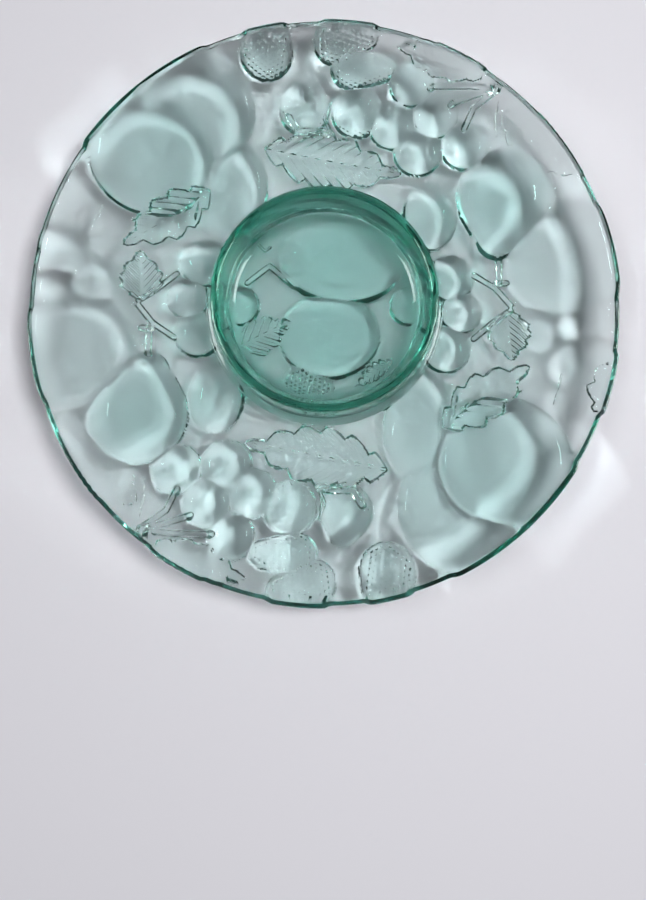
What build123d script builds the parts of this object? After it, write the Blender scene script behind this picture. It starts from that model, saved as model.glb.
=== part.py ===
from build123d import *
import os
from math import asin, atan2, cos, degrees, hypot, radians, sin, sqrt, tan

# Chip and dip server in pressed green glass, in millimetres, +Z up.
# A shallow round plate is smooth on top and carries fruit and leaves in relief underneath.
# A heavy drafted bowl for the dip stands loose in a shallow seat at the middle of the plate.
# The origin is at the middle of the flat crowns that the plate rests on.

# Plate
plate_radius = 165.0
rim_lobe = 1.0
dish_rise = 22.7
glass = 4.0
rim_bevel = 1.2
seat_depth = 1.0
seat_clearance = 0.4

# Dip bowl
bowl_height = 37.2
foot_radius = 68.4
foot_edge = 1.8
flare_height = 3.5
wall_foot_radius = 64.5
rim_outer_radius = 61.8
rim_wall = 4.2
rim_softening = 1.2
well_floor_radius = 54.0
well_bevel = 4.0
floor_thickness = 4.5

# Relief: each fruit stands out from the underside by its depth and is rooted in the glass
rest_depth = 6.0
boss_root = 4.0
side_draft = 30.0
leaf_draft = 20.0
plum_bevel = 2.4
plum_end_share = 0.8
pear_bevel = 2.8
pear_waist = 14.0
berry_side_radius = 45.0

# Round fruits: x, y, radius, depth
apples = [
    (-75.0, 114.0, 35.0, 5.6),
    (-100.0, 88.0, 36.0, 8.0),
    (-139.0, -26.0, 33.0, 7.2),
]
grapes = [
    (-70.0, 25.0, 13.5, 3.9),
    (-79.0, 4.0, 11.5, 3.4),
    (-73.0, -16.0, 13.5, 4.1),
    (-49.0, 0.0, 12.0, 3.6),
    (-82.0, -93.0, 13.5, 4.2),
    (-55.0, -91.0, 14.0, 3.9),
    (-65.0, -111.0, 12.5, 3.6),
    (-40.0, -106.0, 13.5, 4.0),
    (-51.0, -129.0, 12.0, 4.2),
]
cherries = [
    (-146.0, 32.0, 14.0, 3.6),
    (-129.0, 15.0, 13.5, 3.4),
    (-150.0, 8.0, 11.0, 3.0),
]

# Oval fruits: x, y, half length, half width, angle of the length, depth
plums = [
    (-56.0, 69.0, 31.0, 23.0, 80.0, 5.6),
    (-62.0, -53.0, 21.0, 16.5, 90.0, 6.0),
]
centre_plums = [
    (3.0, -17.0, 30.0, 25.0, 5.0, 6.3),
    (10.0, 27.0, 37.0, 26.0, -4.0, 6.9),
]

# Pears: bulb x, y, radius, then neck x, y, radius, and depth
pears = [(-104.0, -63.0, 28.0, -100.0, -38.0, 12.0, 6.8)]

# Strawberries: shoulder x, y, radius, then tip x, y, radius, and depth
strawberries = [
    (-19.0, -114.0, 14.5, -23.0, -121.0, 8.0, 5.2),
    (12.0, -116.0, 14.5, 10.0, -128.0, 8.0, 4.6),
    (-16.0, -139.0, 11.5, -34.0, -138.0, 7.0, 5.6),
    (-6.0, -154.0, 12.0, -22.0, -157.0, 7.5, 4.8),
    (34.0, -148.0, 14.5, 28.0, -155.0, 9.0, 5.4),
]
centre_strawberries = [(-14.0, -45.0, 12.0, -2.0, -47.0, 8.0, 4.4)]

# Leaves: stalk x, y, tip x, y, width, then depth at the stalk and at the tip
leaves = [
    (-66.0, 71.0, -118.0, 34.0, 27.0, 8.2, 2.8),
    (-105.0, 2.0, -107.0, 32.0, 26.0, 2.6, 3.6),
    (-102.0, -112.0, -147.0, -76.0, 30.0, 2.2, 2.2),
    (-94.0, -132.0, -40.0, -152.0, 17.0, 2.2, 2.2),
    (38.0, -94.0, -48.0, -78.0, 27.0, 3.4, 3.4),
]
centre_leaves = [
    (-53.0, -25.0, -19.0, -8.0, 21.0, 2.6, 2.6),
    (40.0, -31.0, 17.0, -48.0, 13.0, 2.6, 2.2),
]

# Levels and radii that follow from the sizes above
seat_radius = foot_radius + seat_clearance
under_z = rest_depth
lip_z = under_z + glass
rim_z = lip_z + dish_rise
seat_z = lip_z - seat_depth
bowl_rim_z = seat_z + bowl_height
plain_radius = plate_radius - rim_lobe
curve_z = (plate_radius**2 + rim_z**2 - seat_radius**2 - lip_z**2) / (2 * dish_rise)
dish_radius = hypot(seat_radius, curve_z - lip_z)
under_radius = dish_radius + glass
flat_radius = sqrt(under_radius**2 - (curve_z - under_z) ** 2)
root_run = boss_root * tan(radians(side_draft))
leaf_run = boss_root * tan(radians(leaf_draft))
press_top = bowl_rim_z + rest_depth


def under_height(radius):
    """Height of the plain underside at a distance from the middle."""
    return max(under_z, curve_z - sqrt(under_radius**2 - radius**2))


def boss_place(x, y, heading=0.0, pitch=0.0):
    """Place on the underside at x, y: z faces out of the glass, x has a heading, and pitch tips x down."""
    radius = hypot(x, y)
    slope = asin(radius / under_radius) if radius > flat_radius else 0.0
    around = atan2(y, x)
    outward = Vector(sin(slope) * cos(around), sin(slope) * sin(around), -cos(slope))
    level = Vector(cos(radians(heading)), sin(radians(heading)), 0)
    ahead = level - outward * level.dot(outward)
    seat = Plane(origin=(x, y, under_height(radius)), x_dir=ahead, z_dir=outward)
    return Location(seat) * Rotation(0, pitch, 0)


def place_round_fruit(x, y, radius, depth):
    """Apple, grape or cherry on the underside: a cap of a sphere."""
    bend = 1 / under_radius if hypot(x, y) > flat_radius else 0.0
    sphere_radius = 1 / (2 * depth / radius**2 + bend)
    with BuildPart() as fruit:
        with Locations((0, 0, depth - sphere_radius)):
            Sphere(sphere_radius, rotation=(90, 0, 0))
        split(bisect_by=Plane.XY.offset(-boss_root), keep=Keep.TOP)
    return fruit.part.moved(boss_place(x, y))


def egg_fruit(big_radius, small_radius, spacing, side_radius, depth):
    """Plum or strawberry, crown up: big end at the origin, small end along x, full sides between them."""
    big = big_radius + root_run
    small = small_radius + root_run
    side = side_radius + root_run
    side_x = ((side - big) ** 2 - (side - small) ** 2 + spacing**2) / (2 * spacing)
    side_y = sqrt((side - big) ** 2 - side_x**2)
    big_joint = Vector(-side_x, side_y).normalized() * big
    small_joint = Vector(spacing, 0) + Vector(spacing - side_x, side_y).normalized() * small
    with BuildPart() as fruit:
        with BuildSketch(Plane.XY.offset(-boss_root)):
            with BuildLine():
                ThreePointArc(big_joint, (-big, 0), (big_joint.X, -big_joint.Y))
                RadiusArc((big_joint.X, -big_joint.Y), (small_joint.X, -small_joint.Y), -side)
                ThreePointArc((small_joint.X, -small_joint.Y), (spacing + small, 0), small_joint)
                RadiusArc(small_joint, big_joint, -side)
            make_face()
        extrude(amount=boss_root + depth, taper=side_draft)
    return fruit.part


def place_plum(x, y, half_length, half_width, heading, depth):
    """Plum on the underside: an oval with its length at a heading."""
    end_radius = plum_end_share * half_width
    reach = half_length - end_radius
    spare = half_width - end_radius
    side_radius = half_width + (reach**2 - spare**2) / (2 * spare)
    with BuildPart() as plum:
        add(egg_fruit(end_radius, end_radius, 2 * reach, side_radius, depth))
        chamfer(plum.edges().group_by(Axis.Z)[-1], plum_bevel)
    return plum.part.moved(boss_place(x, y, heading) * Location((-reach, 0, 0)))


def place_strawberry(shoulder_x, shoulder_y, shoulder_radius, tip_x, tip_y, tip_radius, depth):
    """Strawberry on the underside, from its shoulder to its tip."""
    spacing = hypot(tip_x - shoulder_x, tip_y - shoulder_y)
    heading = degrees(atan2(tip_y - shoulder_y, tip_x - shoulder_x))
    berry = egg_fruit(shoulder_radius, tip_radius, spacing, berry_side_radius, depth)
    return berry.moved(boss_place(shoulder_x, shoulder_y, heading))


def place_pear(bulb_x, bulb_y, bulb_radius, neck_x, neck_y, neck_radius, depth):
    """Pear on the underside: a bulb and a neck with a hollow waist between them."""
    spacing = hypot(neck_x - bulb_x, neck_y - bulb_y)
    heading = degrees(atan2(neck_y - bulb_y, neck_x - bulb_x))
    with BuildPart() as fruit:
        with BuildSketch(Plane.XY.offset(-boss_root)) as outline:
            Circle(bulb_radius + root_run)
            with Locations((spacing, 0)):
                Circle(neck_radius + root_run)
            fillet(outline.vertices(), pear_waist)
        extrude(amount=boss_root + depth, taper=side_draft)
        chamfer(fruit.edges().group_by(Axis.Z)[-1], pear_bevel)
    return fruit.part.moved(boss_place(bulb_x, bulb_y, heading))


def place_leaf(stalk_x, stalk_y, tip_x, tip_y, width, stalk_depth, tip_depth):
    """Pointed leaf on the underside, tipped where one end stands deeper than the other."""
    length = hypot(tip_x - stalk_x, tip_y - stalk_y)
    heading = degrees(atan2(tip_y - stalk_y, tip_x - stalk_x))
    pitch = degrees(atan2(stalk_depth - tip_depth, length))
    blade_curve = (length**2 + width**2) / (4 * width)
    half_width = width / 2 + leaf_run
    half_length = sqrt((blade_curve + leaf_run) ** 2 - (blade_curve - width / 2) ** 2)
    with BuildPart() as leaf:
        with BuildSketch(Plane.XY.offset(-boss_root)):
            with BuildLine():
                ThreePointArc((-half_length, 0), (0, -half_width), (half_length, 0))
                ThreePointArc((half_length, 0), (0, half_width), (-half_length, 0))
            make_face()
        extrude(amount=boss_root + (stalk_depth + tip_depth) / 2, taper=leaf_draft)
    return leaf.part.moved(boss_place((stalk_x + tip_x) / 2, (stalk_y + tip_y) / 2, heading, pitch))


# Half of the relief, which the plate carries twice, turned by half a turn
half_relief = [place_round_fruit(*sizes) for sizes in apples + grapes + cherries]
half_relief += [place_plum(*sizes) for sizes in plums]
half_relief += [place_pear(*sizes) for sizes in pears]
half_relief += [place_strawberry(*sizes) for sizes in strawberries]
half_relief += [place_leaf(*sizes) for sizes in leaves]
turned_relief = [boss.rotate(Axis.Z, 180) for boss in half_relief]

# The group under the middle, whose flat crowns the plate rests on
centre_relief = [place_plum(*sizes) for sizes in centre_plums]
centre_relief += [place_strawberry(*sizes) for sizes in centre_strawberries]
centre_relief += [place_leaf(*sizes) for sizes in centre_leaves]

# Press: forms the smooth dish and the flat seat of the bowl from above
with BuildPart() as press:
    with Locations((0, 0, curve_z)):
        Sphere(dish_radius, rotation=(90, 0, 0))
    split(bisect_by=Plane.XY.offset(seat_z), keep=Keep.TOP)
    with Locations((0, 0, seat_z)):
        Cylinder(seat_radius, press_top, align=(Align.CENTER, Align.CENTER, Align.MIN))

# Mould: bounds the plate at its rim, at the bevel along its upper edge and at the crowns it rests on
with BuildPart() as mould:
    Cylinder(plate_radius, rim_z, align=(Align.CENTER, Align.CENTER, Align.MIN))
    chamfer(mould.edges().group_by(Axis.Z)[-1], rim_bevel)

# Platter: a thick round blank with the relief under it, trimmed by the mould and the press
with BuildPart() as platter:
    with Locations((0, 0, under_z)):
        Cylinder(plain_radius, press_top, align=(Align.CENTER, Align.CENTER, Align.MIN))
    with Locations((0, 0, curve_z)):
        Sphere(under_radius, rotation=(90, 0, 0), mode=Mode.INTERSECT)
    add(half_relief + turned_relief + centre_relief)
    add(mould.part, mode=Mode.INTERSECT)
    add(press.part, mode=Mode.SUBTRACT)
platter.part.label = "platter"

# Dip bowl: thick drafted wall on a flared foot, softened rim and a flat base
with BuildPart() as dip_bowl:
    with BuildSketch(Plane.XZ) as section:
        floor_z = seat_z + floor_thickness
        rim_inner_radius = rim_outer_radius - rim_wall
        with BuildLine():
            Polyline(
                (0, seat_z),
                (foot_radius, seat_z),
                (foot_radius, seat_z + foot_edge),
                (wall_foot_radius, seat_z + foot_edge + flare_height),
                (rim_outer_radius, bowl_rim_z),
                (rim_inner_radius, bowl_rim_z),
                (well_floor_radius, floor_z),
                (0, floor_z),
                close=True,
            )
        make_face()
        chamfer(section.vertices().sort_by_distance((well_floor_radius, floor_z))[0], well_bevel)
        chamfer(section.vertices().group_by(Axis.Y)[-1], rim_softening)
    revolve(axis=Axis.Z)
dip_bowl.part.label = "dip_bowl"

os.makedirs("parts", exist_ok=True)
for piece in (platter, dip_bowl):
    export_step(piece.part, f"parts/{piece.part.label}.step")
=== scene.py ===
# %% [markdown]
# # A chip and dip server in pressed green glass
#
# The object is two pieces of pressed glass. A shallow round plate is smooth on top and carries fruit
# and leaves in relief underneath, and a heavy bowl for the dip stands in the middle. Both are clear, so
# nearly everything that the eye sees is light that bends in the relief. The lesson therefore spends most
# of its effort on one closed, finely moulded glass body, and lets the glass shader do the painting.

# %% Load the frame
from math import cos, pi, radians, sin, sqrt

import bmesh
import bpy
import numpy as np
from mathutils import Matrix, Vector


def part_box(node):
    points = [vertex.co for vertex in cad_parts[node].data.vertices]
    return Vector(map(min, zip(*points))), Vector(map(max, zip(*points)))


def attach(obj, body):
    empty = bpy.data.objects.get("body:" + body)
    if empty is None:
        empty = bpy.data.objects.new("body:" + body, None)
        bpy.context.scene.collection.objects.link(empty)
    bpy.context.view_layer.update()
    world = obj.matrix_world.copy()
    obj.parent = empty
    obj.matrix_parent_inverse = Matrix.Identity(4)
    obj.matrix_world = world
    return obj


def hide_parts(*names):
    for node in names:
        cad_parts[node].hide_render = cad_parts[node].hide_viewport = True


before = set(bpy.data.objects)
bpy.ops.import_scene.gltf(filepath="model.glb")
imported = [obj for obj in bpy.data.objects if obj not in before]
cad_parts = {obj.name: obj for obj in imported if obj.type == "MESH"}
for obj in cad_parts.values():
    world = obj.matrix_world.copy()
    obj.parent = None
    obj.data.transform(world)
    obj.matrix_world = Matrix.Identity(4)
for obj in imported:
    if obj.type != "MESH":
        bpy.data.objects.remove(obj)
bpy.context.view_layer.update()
MM = 0.001

# %% [markdown]
# ## Camera
#
# The photograph looks almost straight down on the plate. The distance, height and lens come from fitting
# the ellipses of the rim and of the bowl. The plate fills the upper part of a tall picture, so the lens is
# shifted instead of the camera being tilted, which would make the circles lean.

# %% Camera
PICTURE_LONG_SIDE = 900
SENSOR_WIDTH = 36
aim = Vector((0, 0, 10 * MM))
camera_distance = 540 * MM
camera_elevation = radians(82.0)
focal_pixels = 935.7
axis_right_of_middle = 1.5
axis_above_middle = 143.9

camera_data = bpy.data.cameras.new("camera")
camera_data.sensor_width = SENSOR_WIDTH
camera_data.lens = focal_pixels * SENSOR_WIDTH / PICTURE_LONG_SIDE
camera_data.shift_x = -axis_right_of_middle / PICTURE_LONG_SIDE
camera_data.shift_y = -axis_above_middle / PICTURE_LONG_SIDE
camera = bpy.data.objects.new("camera", camera_data)
camera.location = aim + camera_distance * Vector((0, -cos(camera_elevation), sin(camera_elevation)))
camera.rotation_euler = (aim - camera.location).to_track_quat("-Z", "Y").to_euler()
bpy.context.scene.collection.objects.link(camera)
bpy.context.scene.camera = camera
print("lens", round(camera_data.lens, 2), "mm, camera at", [round(v, 4) for v in camera.location])

# %% [markdown]
# ## Shader arithmetic
#
# A material is easier to read as sums than as wires. A `Wire` holds one output socket, and each operator
# on it adds the Math node that does that sum. Every other node comes from `make`, which sets a node's
# settings first and then its sockets.


# %% Shader helpers
class Wire:
    """An output socket that does arithmetic: each operator adds a Math node to the tree."""

    def __init__(self, tree, socket):
        self.tree = tree
        self.socket = socket

    def maths(self, operation, other=0.0, clamp=False):
        """Adds a Math node with this wire as its first value."""
        settings = {"operation": operation, "use_clamp": clamp}
        return make(self.tree, "ShaderNodeMath", settings, {0: self, 1: other})[0]

    def __add__(self, other):
        return self.maths("ADD", other)

    __radd__ = __add__

    def __mul__(self, other):
        return self.maths("MULTIPLY", other)

    __rmul__ = __mul__

    def __sub__(self, other):
        return self.maths("SUBTRACT", other)

    def __rsub__(self, other):
        return make(self.tree, "ShaderNodeMath", {"operation": "SUBTRACT"}, {0: other, 1: self})[0]

    def __truediv__(self, other):
        return self.maths("DIVIDE", other)


def make(tree, kind, settings=None, sockets=None):
    """Adds a node and returns its outputs as wires."""
    node = tree.nodes.new(kind)
    for name, value in (settings or {}).items():
        setattr(node, name, value)
    for name, value in (sockets or {}).items():
        if isinstance(value, Wire):
            tree.links.new(value.socket, node.inputs[name])
        else:
            node.inputs[name].default_value = value
    return [Wire(tree, socket) for socket in node.outputs]


def read(tree, kind, output, settings=None):
    """Adds a node that only looks something up, and returns one of its outputs by name."""
    return next(wire for wire in make(tree, kind, settings) if wire.socket.name == output)


def from_axis(tree, place):
    """Distance of a place from the upright axis, followed by its x, y and z."""
    x, y, z = make(tree, "ShaderNodeSeparateXYZ", {}, {"Vector": place})
    return (x * x + y * y).maths("SQRT"), x, y, z


def mix_shaders(tree, share, first, second):
    """Blends two shaders: a share of 0 gives the first and 1 the second."""
    return make(tree, "ShaderNodeMixShader", {}, {"Fac": share, 1: first, 2: second})[0]


def new_material(name):
    """An empty node material."""
    material = bpy.data.materials.new(name)
    material.use_nodes = True
    material.node_tree.nodes.clear()
    return material, material.node_tree


print("shader helpers ready")

# %% [markdown]
# ## Floor
#
# The glass stands on a pale studio floor. Close by, the floor is an ordinary lit surface, so it takes the
# shadow and the bright patches that the glass throws. Far away it fades to an even pale grey, as a studio
# sweep does. That grey shows only to rays that come straight from the camera or through clear glass, and
# Light Path picks those by counting the mirrors and floors that a ray has met. In mirrors the far floor
# stays dark, which draws the dark strokes at the steep outlines of the fruit. From below, the floor is
# clear, so that the relief under the plate can be looked at.

# %% Pale floor
FLOOR_COLOUR = (0.72, 0.71, 0.755, 1)
FAR_COLOUR = (0.62, 0.615, 0.65, 1)
FAR_FROM = 0.42
FAR_FADE = 1.4
HALF_FLOOR = 3.0
FLOOR_GAP = 0.3 * MM


def seen_straight(tree):
    """1 for what shows straight or through clear glass, and 0 after any mirror or floor."""
    floors = read(tree, "ShaderNodeLightPath", "Diffuse Depth")
    mirrors = read(tree, "ShaderNodeLightPath", "Glossy Depth")
    return (1 - (floors + mirrors)).maths("MAXIMUM")


floor_material, floor_tree = new_material("pale_floor")
lit = make(floor_tree, "ShaderNodeBsdfDiffuse", {}, {"Color": FLOOR_COLOUR})[0]
distant = make(floor_tree, "ShaderNodeEmission", {}, {"Color": FAR_COLOUR, "Strength": 1.0})[0]
away = from_axis(floor_tree, read(floor_tree, "ShaderNodeTexCoord", "Object"))[0]
fade = (away - FAR_FROM).maths("MULTIPLY", FAR_FADE, clamp=True)
from_above = mix_shaders(floor_tree, seen_straight(floor_tree) * fade, lit, distant)
below = read(floor_tree, "ShaderNodeNewGeometry", "Backfacing")
open_below = make(floor_tree, "ShaderNodeBsdfTransparent")[0]
both_sides = mix_shaders(floor_tree, below, from_above, open_below)
make(floor_tree, "ShaderNodeOutputMaterial", {}, {"Surface": both_sides})

floor_mesh = bpy.data.meshes.new("floor")
signs = ((-1, -1), (1, -1), (1, 1), (-1, 1))
floor_corners = [(x * HALF_FLOOR, y * HALF_FLOOR, -FLOOR_GAP) for x, y in signs]
floor_mesh.from_pydata(floor_corners, [], [(0, 1, 2, 3)])
floor_mesh.materials.append(floor_material)
floor = bpy.data.objects.new("floor", floor_mesh)
bpy.context.scene.collection.objects.link(floor)
print("floor", 2 * HALF_FLOOR, "m wide, pale from", FAR_FROM, "m on")

# %% [markdown]
# ## Sky and panels of light
#
# Glass shows whatever stands around it, so the light comes from a few glowing panels instead of lamps: a
# panel has a size and a place that the glass can bend and mirror. A small strong one, high on the right,
# shades each fruit from pale to dark, and a weak large one on the left fills in. Two low panels show only
# through the glass, as small glints and as the soft glows beside the rim. Two more show only in its
# surface, as white streaks along the bowl. The sky is dim, but pale where it shows straight.

# %% Sky
SKY_COLOUR = (0.80, 0.80, 0.84, 1)
SKY_STRENGTH = 0.12

world = bpy.data.worlds.new("soft_sky")
world.use_nodes = True
sky_tree = world.node_tree
sky_tree.nodes.clear()
dim_sky = make(sky_tree, "ShaderNodeBackground", {}, {"Color": SKY_COLOUR, "Strength": SKY_STRENGTH})[0]
backdrop = make(sky_tree, "ShaderNodeBackground", {}, {"Color": FAR_COLOUR, "Strength": 1.0})[0]
sky = mix_shaders(sky_tree, seen_straight(sky_tree), dim_sky, backdrop)
make(sky_tree, "ShaderNodeOutputWorld", {}, {"Surface": sky})
bpy.context.scene.world = world
print("sky", world.name)

# %% Panels of light
MIRROR_SHARE = 0.3
SHOWN_FROM = 0.75


def panel(name, place, size, strength, lights=True, mirrored=False):
    """A glowing panel that faces the plate.

    One that lights the set shows through glass only by way of the floor or of three mirrors. The others
    don't light it: they glint through the glass, or are mirrored in its surface.
    """
    material, tree = new_material(name)
    colour = (1, 1, 1, 1)
    if lights:
        passed = read(tree, "ShaderNodeLightPath", "Is Transmission Ray")
        floors = read(tree, "ShaderNodeLightPath", "Diffuse Depth")
        mirrors = read(tree, "ShaderNodeLightPath", "Glossy Depth")
        shown = (floors + mirrors * MIRROR_SHARE).maths("GREATER_THAN", SHOWN_FROM)
        colour = 1 - passed * (1 - shown)
    glow = make(tree, "ShaderNodeEmission", {}, {"Color": colour, "Strength": strength})[0]
    make(tree, "ShaderNodeOutputMaterial", {}, {"Surface": glow})
    turn = (aim - Vector(place)).to_track_quat("-Z", "Y")
    wide, tall = size[0] / 2, size[1] / 2
    corners = [(-wide, tall, 0), (wide, tall, 0), (wide, -tall, 0), (-wide, -tall, 0)]
    mesh = bpy.data.meshes.new(name)
    mesh.from_pydata([Vector(place) + turn @ Vector(corner) for corner in corners], [], [(0, 1, 2, 3)])
    mesh.materials.append(material)
    box = bpy.data.objects.new(name, mesh)
    box.visible_camera = False
    box.visible_diffuse = lights
    box.visible_glossy = mirrored
    box.visible_transmission = not mirrored
    bpy.context.scene.collection.objects.link(box)
    return box


panels = [
    panel("key_right", (0.46, 0.06, 1.25), (0.38, 0.38), 29.0),
    panel("key_left", (-0.46, 0.06, 1.25), (0.6, 0.6), 4.2),
    panel("glint_right", (1.13, 0.0, 0.41), (0.5, 0.1), 46, lights=False),
    panel("glint_left", (-1.13, 0.0, 0.41), (0.5, 0.1), 46, lights=False),
    panel("streak_right", (1.1, -0.15, 0.7), (0.6, 0.8), 12, lights=False, mirrored=True),
    panel("streak_left", (-1.1, -0.15, 0.7), (0.6, 0.8), 12, lights=False, mirrored=True),
]
print(len(panels), "panels of light")

# %% [markdown]
# A ray goes through many walls of glass before it reaches the floor, so it may turn often. The bright
# patches under the glass are left sharp, and only single specks far brighter than they are get clamped.

# %% Limits of the light's path
cycles = bpy.context.scene.cycles
cycles.blur_glossy = 0.0
cycles.sample_clamp_indirect = 40.0
cycles.max_bounces = 24
cycles.transmission_bounces = 24
cycles.glossy_bounces = 8
bpy.context.scene.view_settings.view_transform = "Standard"
print("up to", cycles.max_bounces, "turns of a ray")

# %% [markdown]
# ## Glass
#
# The green comes from the depth of the glass, as in the real material: the surface is clear, and light
# loses red on its way through. Thick places such as the bowl's wall then turn deep green by themselves.
# The plate's surface is painted slightly grey: a painted shade that lowers its brightness without a tint,
# in place of the shade under the plate. A bump gives each piece the unevenness of its mould: a fine
# stipple on the ground between the fruits, and faint rings on the bowl.

# %% Glass materials
GLASS_IOR = 1.5
STIPPLE_SCALE = 900.0
STIPPLE_HEIGHT = 0.2 * MM
RING_SCALE = 420
RING_DRIFT_X = 12
RING_DRIFT_Y = 9
RING_HEIGHT = 0.15 * MM


def glass_material(name, passes, density, grain, clear):
    """Clear glass: passes is the colour that gets through its depth, grain the height of its unevenness, and
    clear the grey of its surface, which below 1 is a painted shade.
    """
    material, tree = new_material(name)
    height = grain(tree, read(tree, "ShaderNodeTexCoord", "Object"))
    bump = make(tree, "ShaderNodeBump", {}, {"Strength": 1.0, "Distance": 1.0, "Height": height})[0]
    finish = {
        "Base Color": (clear, clear, clear, 1),
        "Roughness": 0.0,
        "IOR": GLASS_IOR,
        "Transmission Weight": 1.0,
        "Normal": bump,
    }
    surface = make(tree, "ShaderNodeBsdfPrincipled", {}, finish)[0]
    body = make(tree, "ShaderNodeVolumeAbsorption", {}, {"Color": passes, "Density": density})[0]
    make(tree, "ShaderNodeOutputMaterial", {}, {"Surface": surface, "Volume": body})
    return material


def stipple(tree, place):
    """Height of the fine stipple of the mould, where the mesh's grain attribute asks for it."""
    share = read(tree, "ShaderNodeAttribute", "Fac", {"attribute_name": "grain"})
    dots = make(tree, "ShaderNodeTexNoise", {}, {"Vector": place, "Scale": STIPPLE_SCALE, "Detail": 1.0})[0]
    return share * dots * STIPPLE_HEIGHT


def turning_marks(tree, place):
    """Height of the faint rings that the mould's turning leaves round the bowl."""
    radius, x, y, z = from_axis(tree, place)
    drift = x * RING_DRIFT_X + y * RING_DRIFT_Y
    stretched = {"X": radius * RING_SCALE, "Y": z * RING_SCALE, "Z": drift}
    rings = make(tree, "ShaderNodeCombineXYZ", {}, stretched)[0]
    marks = make(tree, "ShaderNodeTexNoise", {}, {"Vector": rings, "Scale": 1.0, "Detail": 2.0})[0]
    return marks * RING_HEIGHT


platter_passes = (0.02, 0.62, 0.53, 1)
bowl_passes = (0.02, 0.68, 0.56, 1)
# The plate's grey surface of 0.87 is a painted shade that dims it evenly, in place of the shade under the
# plate.
platter_glass = glass_material("platter_glass", platter_passes, density=29.0, grain=stipple, clear=0.87)
bowl_glass = glass_material("bowl_glass", bowl_passes, density=54.0, grain=turning_marks, clear=1.0)
print("materials", platter_glass.name, bowl_glass.name)

# %% [markdown]
# ## The plate's plain form
#
# Without its relief the plate is a shallow dish of even thickness. Its upper face is part of a large
# sphere that meets the flat middle at the bowl's seat and the rim at its highest point, so two heights and
# two radii fix the sphere. Sizes below are in millimetres.

# %% Plain form of the plate
_, plate_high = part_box("platter")
bowl_low, bowl_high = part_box("dip_bowl")
plate_radius = plate_high.y / MM
foot_radius = bowl_high.x / MM
seat_z = bowl_low.z / MM
bowl_rim_z = bowl_high.z / MM
seat_depth = 1.0
seat_clearance = 0.4
glass = 4.0
dish_rise = 22.7
seat_radius = foot_radius + seat_clearance
lip_z = seat_z + seat_depth
under_z = lip_z - glass
rim_z = lip_z + dish_rise
curve_z = (plate_radius**2 + rim_z**2 - seat_radius**2 - lip_z**2) / (2 * dish_rise)
dish_radius = sqrt(seat_radius**2 + (curve_z - lip_z) ** 2)
under_radius = dish_radius + glass


def dish_height(radius):
    """Height of the smooth upper face."""
    return curve_z - np.sqrt(dish_radius**2 - radius**2)


def plain_under_height(radius):
    """Height of the underside before the relief."""
    return np.maximum(under_z, curve_z - np.sqrt(under_radius**2 - radius**2))


print("plate radius", round(plate_radius, 1), "dish sphere", round(dish_radius, 1), "rim at", round(rim_z, 1))

# %% [markdown]
# ## Shapes in the relief
#
# Each fruit is a low dome with a crisp outline, each leaf a thin plateau with teeth and veins, and each
# stem a narrow ridge. Fruits that overlap meet in a valley, as they do in the mould that was cut for them,
# so the deeper one wins. Leaves, stems and seeds ride on the surface below them.

# %% Fruit shapes
VALLEY = 0.3
SIDE_SLOPE = 1.1
TAPER_DROP = 0.2


def ease(value):
    """Smooth step from 0 to 1."""
    value = np.clip(value, 0, 1)
    return value * value * (3 - 2 * value)


def local(x, y, origin, heading):
    """Coordinates along and across a heading, from an origin."""
    along = (x - origin[0]) * cos(heading) + (y - origin[1]) * sin(heading)
    across = (y - origin[1]) * cos(heading) - (x - origin[0]) * sin(heading)
    return along, across


def smooth_max(first, second, width):
    """The larger of two heights, with the valley between them rounded."""
    near = np.maximum(width - np.abs(first - second), 0)
    return np.maximum(first, second) + near * near / (4 * width)


def lay_dome(height, share, reach, depth, side, lift=0.0):
    """Raises a dome: share is 0 in its middle and 1 on its outline, where its side has the given slope."""
    within = np.minimum(share, 1)
    power = np.maximum(side * reach / depth, 2)
    dome = depth * (1 - within**power) - side * reach * (share - within)
    return smooth_max(height, lift + dome, VALLEY)


def round_fruit(height, x, y, middle, radius, depth, side=SIDE_SLOPE, lift=0.0, toward=0.0):
    """Apple, grape or cherry. A lifted one stands higher on one side, where it covers its neighbour."""
    share = np.hypot(x - middle[0], y - middle[1]) / radius
    along = local(x, y, middle, radians(toward))[0]
    return lay_dome(height, share, radius, depth, side, lift * (1 + along / radius) / 2)


def oval_fruit(height, x, y, middle, half_length, half_width, heading, depth, side=SIDE_SLOPE):
    """Plum: an oval with its length at a heading."""
    along, across = local(x, y, middle, radians(heading))
    share = np.hypot(along / half_length, across / half_width)
    return lay_dome(height, share, half_width, depth, side)


def tapered_fruit(height, x, y, big, big_radius, small, small_radius, depth, side=SIDE_SLOPE):
    """Strawberry or pear: a big round end and a small one, with straight sides between them."""
    spacing = np.hypot(small[0] - big[0], small[1] - big[1])
    along, across = local(x, y, big, np.arctan2(small[1] - big[1], small[0] - big[0]))
    lean = (big_radius - small_radius) / spacing
    place = np.clip((along - np.abs(across) * lean / sqrt(1 - lean**2)) / spacing, 0, 1)
    radius = big_radius + (small_radius - big_radius) * place
    share = np.hypot(along - place * spacing, across) / radius
    return lay_dome(height, share, radius, depth * (1 - TAPER_DROP * place), side)


print("fruit shapes ready")

# %% [markdown]
# A leaf is described along its midrib: a width that swells and closes, round teeth that lean to the tip, a
# sunk midrib and slanting side veins. A stem is every point near a short chain of lines. Strawberry seeds
# are pits on a staggered lattice that turns with the fruit.

# %% Leaves, stems and seeds
TOOTH_LEAN = 0.75
LEAF_EDGE = 1.6
LEAF_SWELL = 0.85
MIDRIB = 1.6
VEIN_SLANT = 0.9
VEIN_CURL = 0.02
STEM_EDGE = 1.6
SEED_PITCH = 2.8
SEED_SIZE = 0.75
SEED_MARGIN = 3.0


def crease(away, width):
    """A round groove: 1 on its line and 0 from its width on."""
    return ease(1 - np.abs(away) / width)


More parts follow.
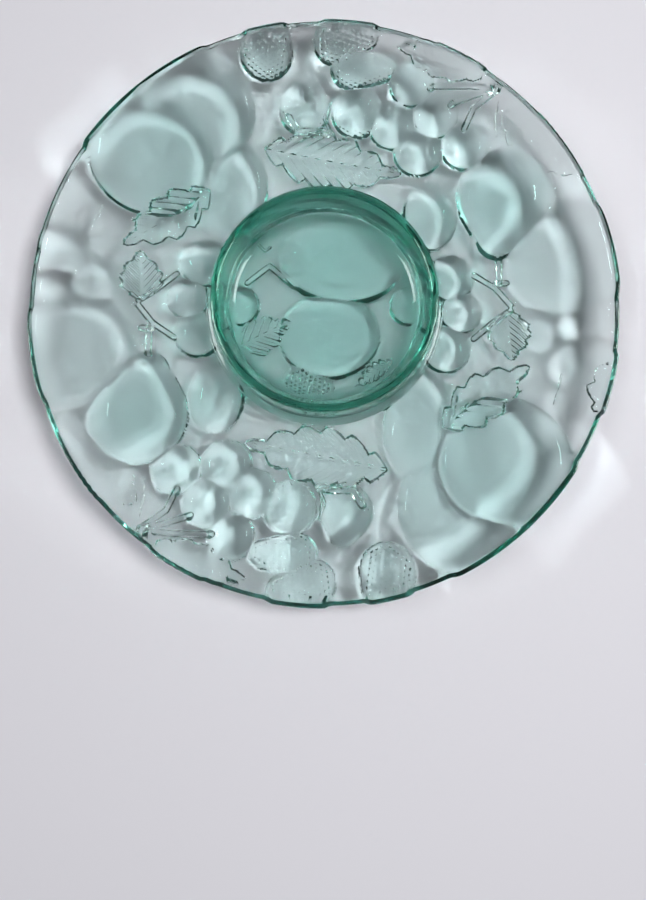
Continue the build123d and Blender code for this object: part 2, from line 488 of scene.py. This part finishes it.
def leaf(
    height, x, y, stalk, tip, left, right,
    rise=3.0, teeth=7, tooth=2.0, bend=0.0, vein=0.9, pitch=4.6,
):
    """Leaf from stalk to tip with its half widths on both sides of the midrib."""
    length = np.hypot(tip[0] - stalk[0], tip[1] - stalk[1])
    along, across = local(x, y, stalk, np.arctan2(tip[1] - stalk[1], tip[0] - stalk[0]))
    place = np.clip(along / length, 0, 1)
    across = across - 4 * bend * place * (1 - place)
    swell = np.sin(pi * place**LEAF_SWELL)
    turn = (place * teeth) % 1.0
    back = np.maximum(1 - turn / TOOTH_LEAN, 0) ** 2
    notch = np.maximum(back, (turn - TOOTH_LEAN) / (1 - TOOTH_LEAN))
    half = np.where(across > 0, left, right) * swell - tooth * notch
    cover = np.clip((half - np.abs(across)) / LEAF_EDGE, 0, 1) * (along > 0) * (along < length)
    row = (along - VEIN_SLANT * np.abs(across) * (1 + VEIN_CURL * np.abs(across))) / pitch
    waves = (1 + np.cos(2 * pi * row)) / 2
    return height + cover * (rise - vein * np.maximum(crease(across, MIDRIB), waves))


def stem(height, x, y, points, width=2.3, rise=1.8):
    """Narrow ridge along a chain of points."""
    away = np.full_like(x, np.inf)
    for (ax, ay), (bx, by) in zip(points, points[1:]):
        span = (bx - ax) ** 2 + (by - ay) ** 2
        place = np.clip(((x - ax) * (bx - ax) + (y - ay) * (by - ay)) / span, 0, 1)
        away = np.minimum(away, np.hypot(x - ax - place * (bx - ax), y - ay - place * (by - ay)))
    return height + rise * ease((width - away) / STEM_EDGE)


def seeds(height, x, y, big, big_radius, small, small_radius, dent):
    """Pits of the seeds of a strawberry, on a lattice along its length."""
    spacing = np.hypot(small[0] - big[0], small[1] - big[1])
    along, across = local(x, y, big, np.arctan2(small[1] - big[1], small[0] - big[0]))
    row = np.round(along / SEED_PITCH)
    shift = (row % 2) * SEED_PITCH / 2
    column = np.round((across - shift) / SEED_PITCH)
    away = np.hypot(along - row * SEED_PITCH, across - shift - column * SEED_PITCH)
    place = np.clip(along / spacing, 0, 1)
    reach = big_radius + (small_radius - big_radius) * place - SEED_MARGIN
    inside = np.hypot(along - place * spacing, across) < reach
    return height - inside * dent * np.exp(-((away / SEED_SIZE) ** 2))


print("leaf, stem and seed shapes ready")

# %% [markdown]
# ## The relief itself
#
# The fruits lie in two like halves, one turned by half a turn. A small group under the bowl and one leaf at
# the rim are there only once. Each line is one fruit, leaf or stem with its place and size in millimetres,
# from back to front.

# %% Half of the relief
strawberries = [
    dict(big=(-19, -114), big_radius=15.5, small=(-23, -121), small_radius=8),
    dict(big=(12, -116), big_radius=15.5, small=(10, -128), small_radius=8),
    dict(big=(-16, -139), big_radius=13, small=(-34, -138), small_radius=8),
    dict(big=(-6, -153), big_radius=13, small=(-24, -156), small_radius=8),
    dict(big=(34, -147), big_radius=16, small=(28, -155), small_radius=9),
]
berry_depths = [5.2, 4.6, 5.6, 4.8, 5.4]
seed_dents = [0.4, 0.4, 0.5, 0.75, 0.75]
pear = dict(big=(-104, -63), big_radius=28, small=(-100, -38), small_radius=12)
apple_leaf = dict(stalk=(-66, 71), tip=(-118, 34), left=14, right=16)
long_leaf = dict(stalk=(38, -94), tip=(-48, -78), left=18, right=18)
half_relief = [
    (leaf, dict(stalk=(-102, -112), tip=(-150, -70), left=13, right=15, rise=1.2, vein=0.5, pitch=6.0)),
    (round_fruit, dict(middle=(-75, 114), radius=35, depth=4.6, side=0.9)),
    (round_fruit, dict(middle=(-100, 88), radius=36, depth=4.6, lift=3.0, toward=46, side=1.2)),
    (round_fruit, dict(middle=(-139, -26), radius=33, depth=2.2, side=0.7)),
    (oval_fruit, dict(middle=(-56, 69), half_length=31, half_width=23, heading=80, depth=5.2, side=0.95)),
    (oval_fruit, dict(middle=(-62, -53), half_length=21, half_width=16.5, heading=90, depth=5.8)),
    (tapered_fruit, dict(pear, depth=7.6, side=0.95)),
    (round_fruit, dict(middle=(-70, 25), radius=14.5, depth=4.8)),
    (round_fruit, dict(middle=(-79, 4), radius=12.5, depth=4.2)),
    (round_fruit, dict(middle=(-73, -16), radius=14.5, depth=5.2)),
    (round_fruit, dict(middle=(-49, 0), radius=12, depth=4.4)),
    (round_fruit, dict(middle=(-82, -93), radius=14.5, depth=4.6)),
    (round_fruit, dict(middle=(-55, -91), radius=15, depth=4.4)),
    (round_fruit, dict(middle=(-65, -111), radius=14, depth=4.4)),
    (round_fruit, dict(middle=(-40, -106), radius=14.5, depth=4.4)),
    (round_fruit, dict(middle=(-51, -129), radius=13.5, depth=4.6)),
    (round_fruit, dict(middle=(-146, 32), radius=14.5, depth=1.7, side=0.6)),
    (round_fruit, dict(middle=(-129, 15), radius=14, depth=1.7, side=0.6)),
    (round_fruit, dict(middle=(-150, 8), radius=11.5, depth=1.5, side=0.6)),
    *((tapered_fruit, dict(berry, depth=depth)) for berry, depth in zip(strawberries, berry_depths)),
    *((seeds, dict(berry, dent=dent)) for berry, dent in zip(strawberries, seed_dents)),
    (leaf, dict(apple_leaf, bend=1.5, vein=0.85, tooth=3.6, teeth=5, pitch=6.2)),
    (leaf, dict(stalk=(-105, 2), tip=(-107, 33), left=13, right=13, teeth=5, pitch=3.5)),
    (leaf, dict(stalk=(-95, -131), tip=(-40, -152), left=10, right=9, rise=2.2, teeth=5, vein=0.5)),
    (leaf, dict(long_leaf, rise=3.2, teeth=6, tooth=3.8, pitch=7.4, vein=1.15)),
    (stem, dict(points=[(-107, 3), (-97, 10), (-86, 19)])),
    (stem, dict(points=[(-107, 0), (-99, -10), (-87, -18)])),
    (stem, dict(points=[(-128, 57), (-133, 40)], width=0.8)),
    (stem, dict(points=[(-105, -13), (-99, -13)])),
    (stem, dict(points=[(-101, -13), (-101, -28)])),
    (stem, dict(points=[(-100, -124), (-87, -115), (-82, -104)])),
    (stem, dict(points=[(-100, -124), (-88, -122), (-74, -118)])),
    (stem, dict(points=[(-100, -124), (-85, -127), (-62, -128)])),
    (stem, dict(points=[(-100, -97), (-99, -107), (-101, -118)], width=0.8)),
    (stem, dict(points=[(-3, -103), (5, -105), (16, -105), (21, -113)], width=2.6)),
    (stem, dict(points=[(-3, -104), (0, -112), (-3, -120)], width=1.6)),
]
print(len(half_relief), "shapes in each half")

# %% What is there only once, and the whole relief
centre_berry = dict(big=(-14, -45), big_radius=12, small=(-2, -47), small_radius=8)
single_relief = [
    (oval_fruit, dict(middle=(3, -17), half_length=30, half_width=26, heading=5, depth=6.8, side=1.2)),
    (oval_fruit, dict(middle=(10, 27), half_length=37, half_width=27, heading=-4, depth=7.8, side=1.22)),
    (tapered_fruit, dict(centre_berry, depth=4.4)),
    (seeds, dict(centre_berry, dent=1.15)),
    (leaf, dict(stalk=(-53, -25), tip=(-18, -8), left=12, right=12, rise=2.0, pitch=5.8, vein=1.2, teeth=4)),
    (leaf, dict(stalk=(40, -31), tip=(17, -48), left=7, right=7, pitch=3.5)),
    (stem, dict(points=[(-45, 14), (-32, 24), (-18, 12)])),
    (stem, dict(points=[(-40, 38), (-35, 33), (-32, 35)], width=1.4)),
    (leaf, dict(stalk=(153, -69), tip=(164, -24), left=13, right=6, rise=2.8, teeth=4, vein=0.5, tooth=3.0)),
]


def relief(x, y):
    """Depth of the relief under the plain underside: both halves and what is there only once."""
    parts = []
    for turn, group in ((1, half_relief), (-1, half_relief), (1, single_relief)):
        height = np.zeros_like(x)
        for shape, sizes in group:
            height = shape(height, turn * x, turn * y, **sizes)
        parts.append(height)
    return np.maximum.reduce(parts)


print("relief of", 2 * len(half_relief) + len(single_relief), "shapes")

# %% [markdown]
# ## The plate's mesh
#
# A square lattice is bent to a disc, which keeps its cells about even and has no pole in the middle. Then
# it is divided three times, each time only where the relief bends more sharply, along outlines, veins and
# seeds. So the fine lines are sharp while the smooth domes stay light. A raster of the relief shows
# beforehand where it bends.

# %% Lattice and rim
RIM_LOBE = 1.4
RIM_LOBE_DEPTH = 2.5
RIM_SAMPLE = 3
TINY = 1e-9
RASTER_STEP = 0.5


def to_disc(a, b):
    """Bends the square from -1 to 1 to the unit disc, with rings of the square becoming circles."""
    wide = np.abs(a) > np.abs(b)
    radius = np.where(wide, a, b)
    safe = np.where(radius == 0, 1, radius)
    angle = np.where(wide, pi / 4 * b / safe, pi / 2 - pi / 4 * a / safe)
    return radius * np.cos(angle), radius * np.sin(angle)


def rim_radius(x, y):
    """Radius of the rim in the direction of x, y: fruits that reach it push it out a little."""
    away = np.maximum(np.hypot(x, y), TINY)
    inside = plate_radius - RIM_SAMPLE
    depth = relief(x / away * inside, y / away * inside)
    return plate_radius - RIM_LOBE * (1 - ease(depth / RIM_LOBE_DEPTH))


raster_side = np.arange(-plate_radius, plate_radius + RASTER_STEP, RASTER_STEP)
raster_x, raster_y = np.meshgrid(raster_side, raster_side)
raster = relief(raster_x, raster_y)
raster_slope_y, raster_slope_x = np.gradient(raster, RASTER_STEP)
bend_x = np.gradient(raster_slope_x, RASTER_STEP, axis=1)
bend_y = np.gradient(raster_slope_y, RASTER_STEP, axis=0)
bend = np.abs(bend_x) + np.abs(bend_y)
print("relief up to", round(float(raster.max()), 2), "mm, bend up to", round(float(bend.max()), 2), "per mm")

# %% Underside, refined where the relief bends
LATTICE_CELLS = 110
SHARP_BENDS = (0.22, 0.92, 3.2)
SPREAD_STEPS = (3, 2, 1)
BORDER_SHARE = 0.985


def widest(values, steps):
    """Spreads the largest values of the raster over a few steps to all sides."""
    for axis in (0, 1):
        values = np.maximum.reduce([np.roll(values, shift, axis) for shift in range(-steps, steps + 1)])
    return values


def face_bends(mesh, bends):
    """Sharpest bend of the relief at each face of the lattice, and none on the border."""
    middles = np.array([face.calc_center_median()[:2] for face in mesh.faces])
    x, y = to_disc(middles[:, 0], middles[:, 1])
    column = np.rint((x * plate_radius + plate_radius) / RASTER_STEP).astype(int)
    row = np.rint((y * plate_radius + plate_radius) / RASTER_STEP).astype(int)
    return bends[row, column] * (np.hypot(x, y) < BORDER_SHARE)


lattice = bmesh.new()
bmesh.ops.create_grid(lattice, x_segments=LATTICE_CELLS, y_segments=LATTICE_CELLS, size=1)
for sharp, steps in zip(SHARP_BENDS, SPREAD_STEPS):
    lattice.faces.ensure_lookup_table()
    chosen = np.nonzero(face_bends(lattice, widest(bend, steps)) > sharp)[0]
    edges = {edge for index in chosen for edge in lattice.faces[index].edges}
    bmesh.ops.subdivide_edges(lattice, edges=list(edges), cuts=1, use_grid_fill=True)
    print("divided", len(chosen), "cells, now", len(lattice.faces), "faces")

lattice.verts.index_update()
lattice_points = np.array([vert.co[:2] for vert in lattice.verts])
under_faces = [[vert.index for vert in reversed(face.verts)] for face in lattice.faces]
border = [vert.index for vert in lattice.verts if vert.is_boundary]
lattice.free()
print("underside", len(lattice_points), "points,", len(under_faces), "faces")

# %% [markdown]
# Glass shows every facet, so the shading doesn't rely on the faces. At each point of the underside the
# normal is worked out from the slope of the relief itself. On the border it is left to Blender, by a
# normal of zero. The grain tells the stipple where the ground is.

# %% Heights and exact normals of the underside
SLOPE_STEP = 0.1
GRAIN_DEPTH = 1.2
rim_bevel = 1.9


def under_height(x, y):
    """Height of the underside with its relief, which is flat where it would reach below the table."""
    return np.maximum(plain_under_height(np.hypot(x, y)) - relief(x, y), 0)


def under_slope(step_x, step_y):
    """Slope of the underside at each of its points along a step."""
    ahead = under_height(under_x + step_x, under_y + step_y)
    behind = under_height(under_x - step_x, under_y - step_y)
    return (ahead - behind) / (2 * SLOPE_STEP)


disc_x, disc_y = to_disc(lattice_points[:, 0], lattice_points[:, 1])
under_reach = rim_radius(disc_x, disc_y) - rim_bevel
under_x = disc_x * under_reach
under_y = disc_y * under_reach
under_level = under_height(under_x, under_y)
slope_x = under_slope(SLOPE_STEP, 0)
slope_y = under_slope(0, SLOPE_STEP)
under_normals = np.column_stack([slope_x, slope_y, -np.ones_like(slope_x)])
under_normals /= np.linalg.norm(under_normals, axis=1)[:, None]
under_normals[np.hypot(disc_x, disc_y) > BORDER_SHARE] = 0
under_grain = 1 - ease(relief(under_x, under_y) / GRAIN_DEPTH)
print("underside from", round(float(under_level.min()), 2), "to", round(float(under_level.max()), 2), "mm")

# %% [markdown]
# The rim and the smooth upper face are rings. They start from the border of the underside, go round the
# softened edge of the rim, run down the dish to the bowl's seat and close in the middle, so the plate is
# one watertight body.

# %% Rings of the rim, dish and seat
ROUND_STEPS = 4
TOP_ROUND = 1.2
CHAMFER = 2.6
DISH_RINGS = 6
SEAT_SHARES = (0.6, 0.2)
seat_round = 0.5
border.sort(key=lambda index: np.arctan2(under_y[index], under_x[index]))
border = np.array(border)
border_angle = np.arctan2(under_y[border], under_x[border])
direction = np.stack([np.cos(border_angle), np.sin(border_angle)], axis=1)
edge_radius = rim_radius(direction[:, 0], direction[:, 1])
edge_under = under_level[border]
edge_top = dish_height(edge_radius - TOP_ROUND)
rings = []
for step in range(1, ROUND_STEPS + 1):
    done = step / ROUND_STEPS
    rings.append((edge_radius - rim_bevel * (1 - done), edge_under + CHAMFER * done))
for step in range(ROUND_STEPS + 1):
    turn = pi / 2 * step / ROUND_STEPS
    rings.append((edge_radius - TOP_ROUND * (1 - cos(turn)), edge_top - TOP_ROUND * (1 - sin(turn))))
dish_outer = edge_radius - TOP_ROUND
dish_inner = seat_radius + seat_round
for step in range(1, DISH_RINGS + 1):
    radius = dish_outer + (dish_inner - dish_outer) * step / DISH_RINGS
    rings.append((radius, dish_height(radius)))
even = np.ones_like(edge_radius)
for radius, level in (
    (seat_radius, dish_height(seat_radius) - seat_round / 2),
    (seat_radius, seat_z + seat_round),
    (seat_radius - seat_round, seat_z),
    *((seat_radius * share, seat_z) for share in SEAT_SHARES),
):
    rings.append((radius * even, level * even))
print(len(rings), "rings of", len(border), "points")

# %% The plate as one mesh
points = [np.stack([under_x, under_y, under_level], axis=1)]
for radius, level in rings:
    points.append(np.column_stack([direction * radius[:, None], level]))
points.append(np.array([[0, 0, seat_z]]))
plate_points = np.concatenate(points) * MM
faces = list(under_faces)
inner = border
start = len(under_x)
for _ in rings:
    outer = inner
    inner = np.arange(start, start + len(border))
    start += len(border)
    faces += np.stack([outer, np.roll(outer, -1), np.roll(inner, -1), inner], axis=1).tolist()
faces += [[int(a), int(b), start] for a, b in zip(inner, np.roll(inner, -1))]

plate_mesh = bpy.data.meshes.new("glass_platter")
plate_mesh.from_pydata(plate_points.tolist(), [], faces)
plate_mesh.polygons.foreach_set("use_smooth", [True] * len(plate_mesh.polygons))
plate_mesh.materials.append(platter_glass)
smooth_part = len(plate_points) - len(under_x)
grain = plate_mesh.attributes.new("grain", "FLOAT", "POINT")
grain.data.foreach_set("value", np.concatenate([under_grain, np.zeros(smooth_part)]).astype(np.float32))
plate_mesh.update()
plate_normals = np.concatenate([under_normals, np.zeros((smooth_part, 3))])
plate_mesh.normals_split_custom_set_from_vertices(plate_normals.tolist())
platter = bpy.data.objects.new("glass_platter", plate_mesh)
bpy.context.scene.collection.objects.link(platter)
triangles = sum(len(polygon.vertices) - 2 for polygon in plate_mesh.polygons)
print("platter", triangles, "triangles,", len(border), "points round the rim")

# %% [markdown]
# ## The dip bowl
#
# A turned form follows a rule, so Geometry Nodes make it. The half section is a line of eight corners whose
# places come from named sizes, and Fillet Curve rounds them: convex at the foot and the rim, and hollow
# where the wall flares into the foot. A grid with one column for each step round the axis then takes its
# radius and height from the section. Change one input and the bowl is pressed anew.

# %% Tree for the turned bowl
BOWL_SIDES = 240
ROUND_POINTS = 8
MERGE_GAP = 0.01 * MM
FOOT_GAP = 0.1
bowl_sizes = {
    "Base": seat_z + FOOT_GAP,
    "Foot Radius": foot_radius,
    "Foot Top": seat_z + 1.8,
    "Foot Round": 0.85,
    "Wall Foot Radius": 64.5,
    "Flare Base": seat_z + 2.4,
    "Flare Round": 3.6,
    "Rim Radius": 61.8,
    "Rim Level": bowl_rim_z,
    "Rim Inner Radius": 57.6,
    "Rim Round": 2.0,
    "Well Radius": 54.0,
    "Well Floor": seat_z + 3.4,
    "Well Round": 6.0,
}
bowl_corners = [
    (None, "Base", None),
    ("Foot Radius", "Base", "Foot Round"),
    ("Foot Radius", "Foot Top", "Foot Round"),
    ("Wall Foot Radius", "Flare Base", "Flare Round"),
    ("Rim Radius", "Rim Level", "Rim Round"),
    ("Rim Inner Radius", "Rim Level", "Rim Round"),
    ("Well Radius", "Well Floor", "Well Round"),
    (None, "Well Floor", None),
]
bowl_tree = bpy.data.node_groups.new("turned_bowl", "GeometryNodeTree")
bowl_tree.interface.new_socket("Geometry", in_out="OUTPUT", socket_type="NodeSocketGeometry")
for name in bowl_sizes:
    bowl_tree.interface.new_socket(name, in_out="INPUT", socket_type="NodeSocketFloat")
bowl_tree.interface.new_socket("Glass", in_out="INPUT", socket_type="NodeSocketMaterial")
bowl_input = {wire.socket.name: wire for wire in make(bowl_tree, "NodeGroupInput") if wire.socket.name}
print("turned bowl with", len(bowl_sizes), "named sizes and", len(bowl_corners), "corners")


# %% Half section of the bowl
def by_corner(kind, values):
    """Picks one value for each corner of the section by its number."""
    switch = bowl_tree.nodes.new("GeometryNodeIndexSwitch")
    switch.data_type = kind
    while len(switch.index_switch_items) < len(values):
        switch.index_switch_items.new()
    number = make(bowl_tree, "GeometryNodeInputIndex")[0]
    bowl_tree.links.new(number.socket, switch.inputs["Index"])
    for socket, value in zip(switch.inputs[1:], values):
        if value is not None:
            bowl_tree.links.new(value.socket, socket)
    return Wire(bowl_tree, switch.outputs[0])


places = []
for radius, level, rounding in bowl_corners:
    sockets = {"Z": bowl_input[level]}
    if radius is not None:
        sockets["X"] = bowl_input[radius]
    places += make(bowl_tree, "ShaderNodeCombineXYZ", {}, sockets)
roundings = [rounding and bowl_input[rounding] for radius, level, rounding in bowl_corners]
line = make(bowl_tree, "GeometryNodeMeshLine", {}, {"Count": len(bowl_corners)})[0]
corner_line = make(
    bowl_tree, "GeometryNodeSetPosition", {}, {"Geometry": line, "Position": by_corner("VECTOR", places)}
)[0]
corner_curve = make(bowl_tree, "GeometryNodeMeshToCurve", {}, {"Mesh": corner_line})[0]
section_curve = make(
    bowl_tree,
    "GeometryNodeFilletCurve",
    {"mode": "POLY"},
    {
        "Curve": corner_curve,
        "Count": ROUND_POINTS,
        "Radius": by_corner("FLOAT", roundings),
        "Limit Radius": True,
    },
)[0]
section = make(bowl_tree, "GeometryNodeCurveToMesh", {}, {"Curve": section_curve})[0]
print("section line rounded with", ROUND_POINTS, "points at each corner")

# %% Turn the section round the axis
section_points = make(
    bowl_tree, "GeometryNodeAttributeDomainSize", {"component": "MESH"}, {"Geometry": section}
)[0]
sheet = make(
    bowl_tree, "GeometryNodeMeshGrid", {}, {"Vertices X": BOWL_SIDES + 1, "Vertices Y": section_points}
)[0]
number = make(bowl_tree, "GeometryNodeInputIndex")[0]
column = (number / section_points).maths("FLOOR")
place = make(bowl_tree, "GeometryNodeInputPosition")[0]
picked = make(
    bowl_tree,
    "GeometryNodeSampleIndex",
    {"data_type": "FLOAT_VECTOR", "domain": "POINT"},
    {"Geometry": section, "Value": place, "Index": number - column * section_points},
)[0]
radius, _, level = make(bowl_tree, "ShaderNodeSeparateXYZ", {}, {"Vector": picked})
angle = column * (2 * pi / BOWL_SIDES)
turned_place = {"X": radius * angle.maths("COSINE"), "Y": radius * angle.maths("SINE"), "Z": level}
turned = make(bowl_tree, "ShaderNodeCombineXYZ", {}, turned_place)[0]
shell = make(bowl_tree, "GeometryNodeSetPosition", {}, {"Geometry": sheet, "Position": turned})[0]
shell = make(bowl_tree, "GeometryNodeMergeByDistance", {}, {"Geometry": shell, "Distance": MERGE_GAP})[0]
shell = make(bowl_tree, "GeometryNodeSetShadeSmooth", {}, {"Geometry": shell})[0]
shell = make(bowl_tree, "GeometryNodeRealizeInstances", {}, {"Geometry": shell})[0]
finished = {"Geometry": shell, "Material": bowl_input["Glass"]}
shell = make(bowl_tree, "GeometryNodeSetMaterial", {}, finished)[0]
make(bowl_tree, "NodeGroupOutput", {}, {"Geometry": shell})
print("tree", bowl_tree.name, "with", len(bowl_tree.nodes), "nodes")

# %% [markdown]
# The tree is run once with the bowl's sizes and its result becomes a plain mesh. A turned sheet can come out
# with its faces to the inside, so they are turned outwards at the end.

# %% The bowl as a plain mesh
bowl = bpy.data.objects.new("glass_dip_bowl", bpy.data.meshes.new("glass_dip_bowl"))
bpy.context.scene.collection.objects.link(bowl)
turning = bowl.modifiers.new("turned", "NODES")
turning.node_group = bowl_tree
for item in bowl_tree.interface.items_tree:
    if item.in_out == "INPUT":
        turning[item.identifier] = bowl_glass if item.name == "Glass" else bowl_sizes[item.name] * MM
turned_bowl = bowl.evaluated_get(bpy.context.evaluated_depsgraph_get())
bowl_mesh = bpy.data.meshes.new_from_object(turned_bowl)
bowl.modifiers.remove(turning)
bowl.data = bowl_mesh
outward = bmesh.new()
outward.from_mesh(bowl_mesh)
bmesh.ops.recalc_face_normals(outward, faces=outward.faces)
outward.to_mesh(bowl_mesh)
print("bowl", len(bowl_mesh.polygons), "faces, volume", round(outward.calc_volume() / MM**3), "mm3")
outward.free()

# %% [markdown]
# ## Pieces on their bodies
#
# Each glass piece rides on its body and stands for its plain solid, which is hidden.

# %% Ride and replace
for piece, node, slot in ((platter, "platter", "platter_glass"), (bowl, "dip_bowl", "bowl_glass")):
    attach(piece, node)
    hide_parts(node)
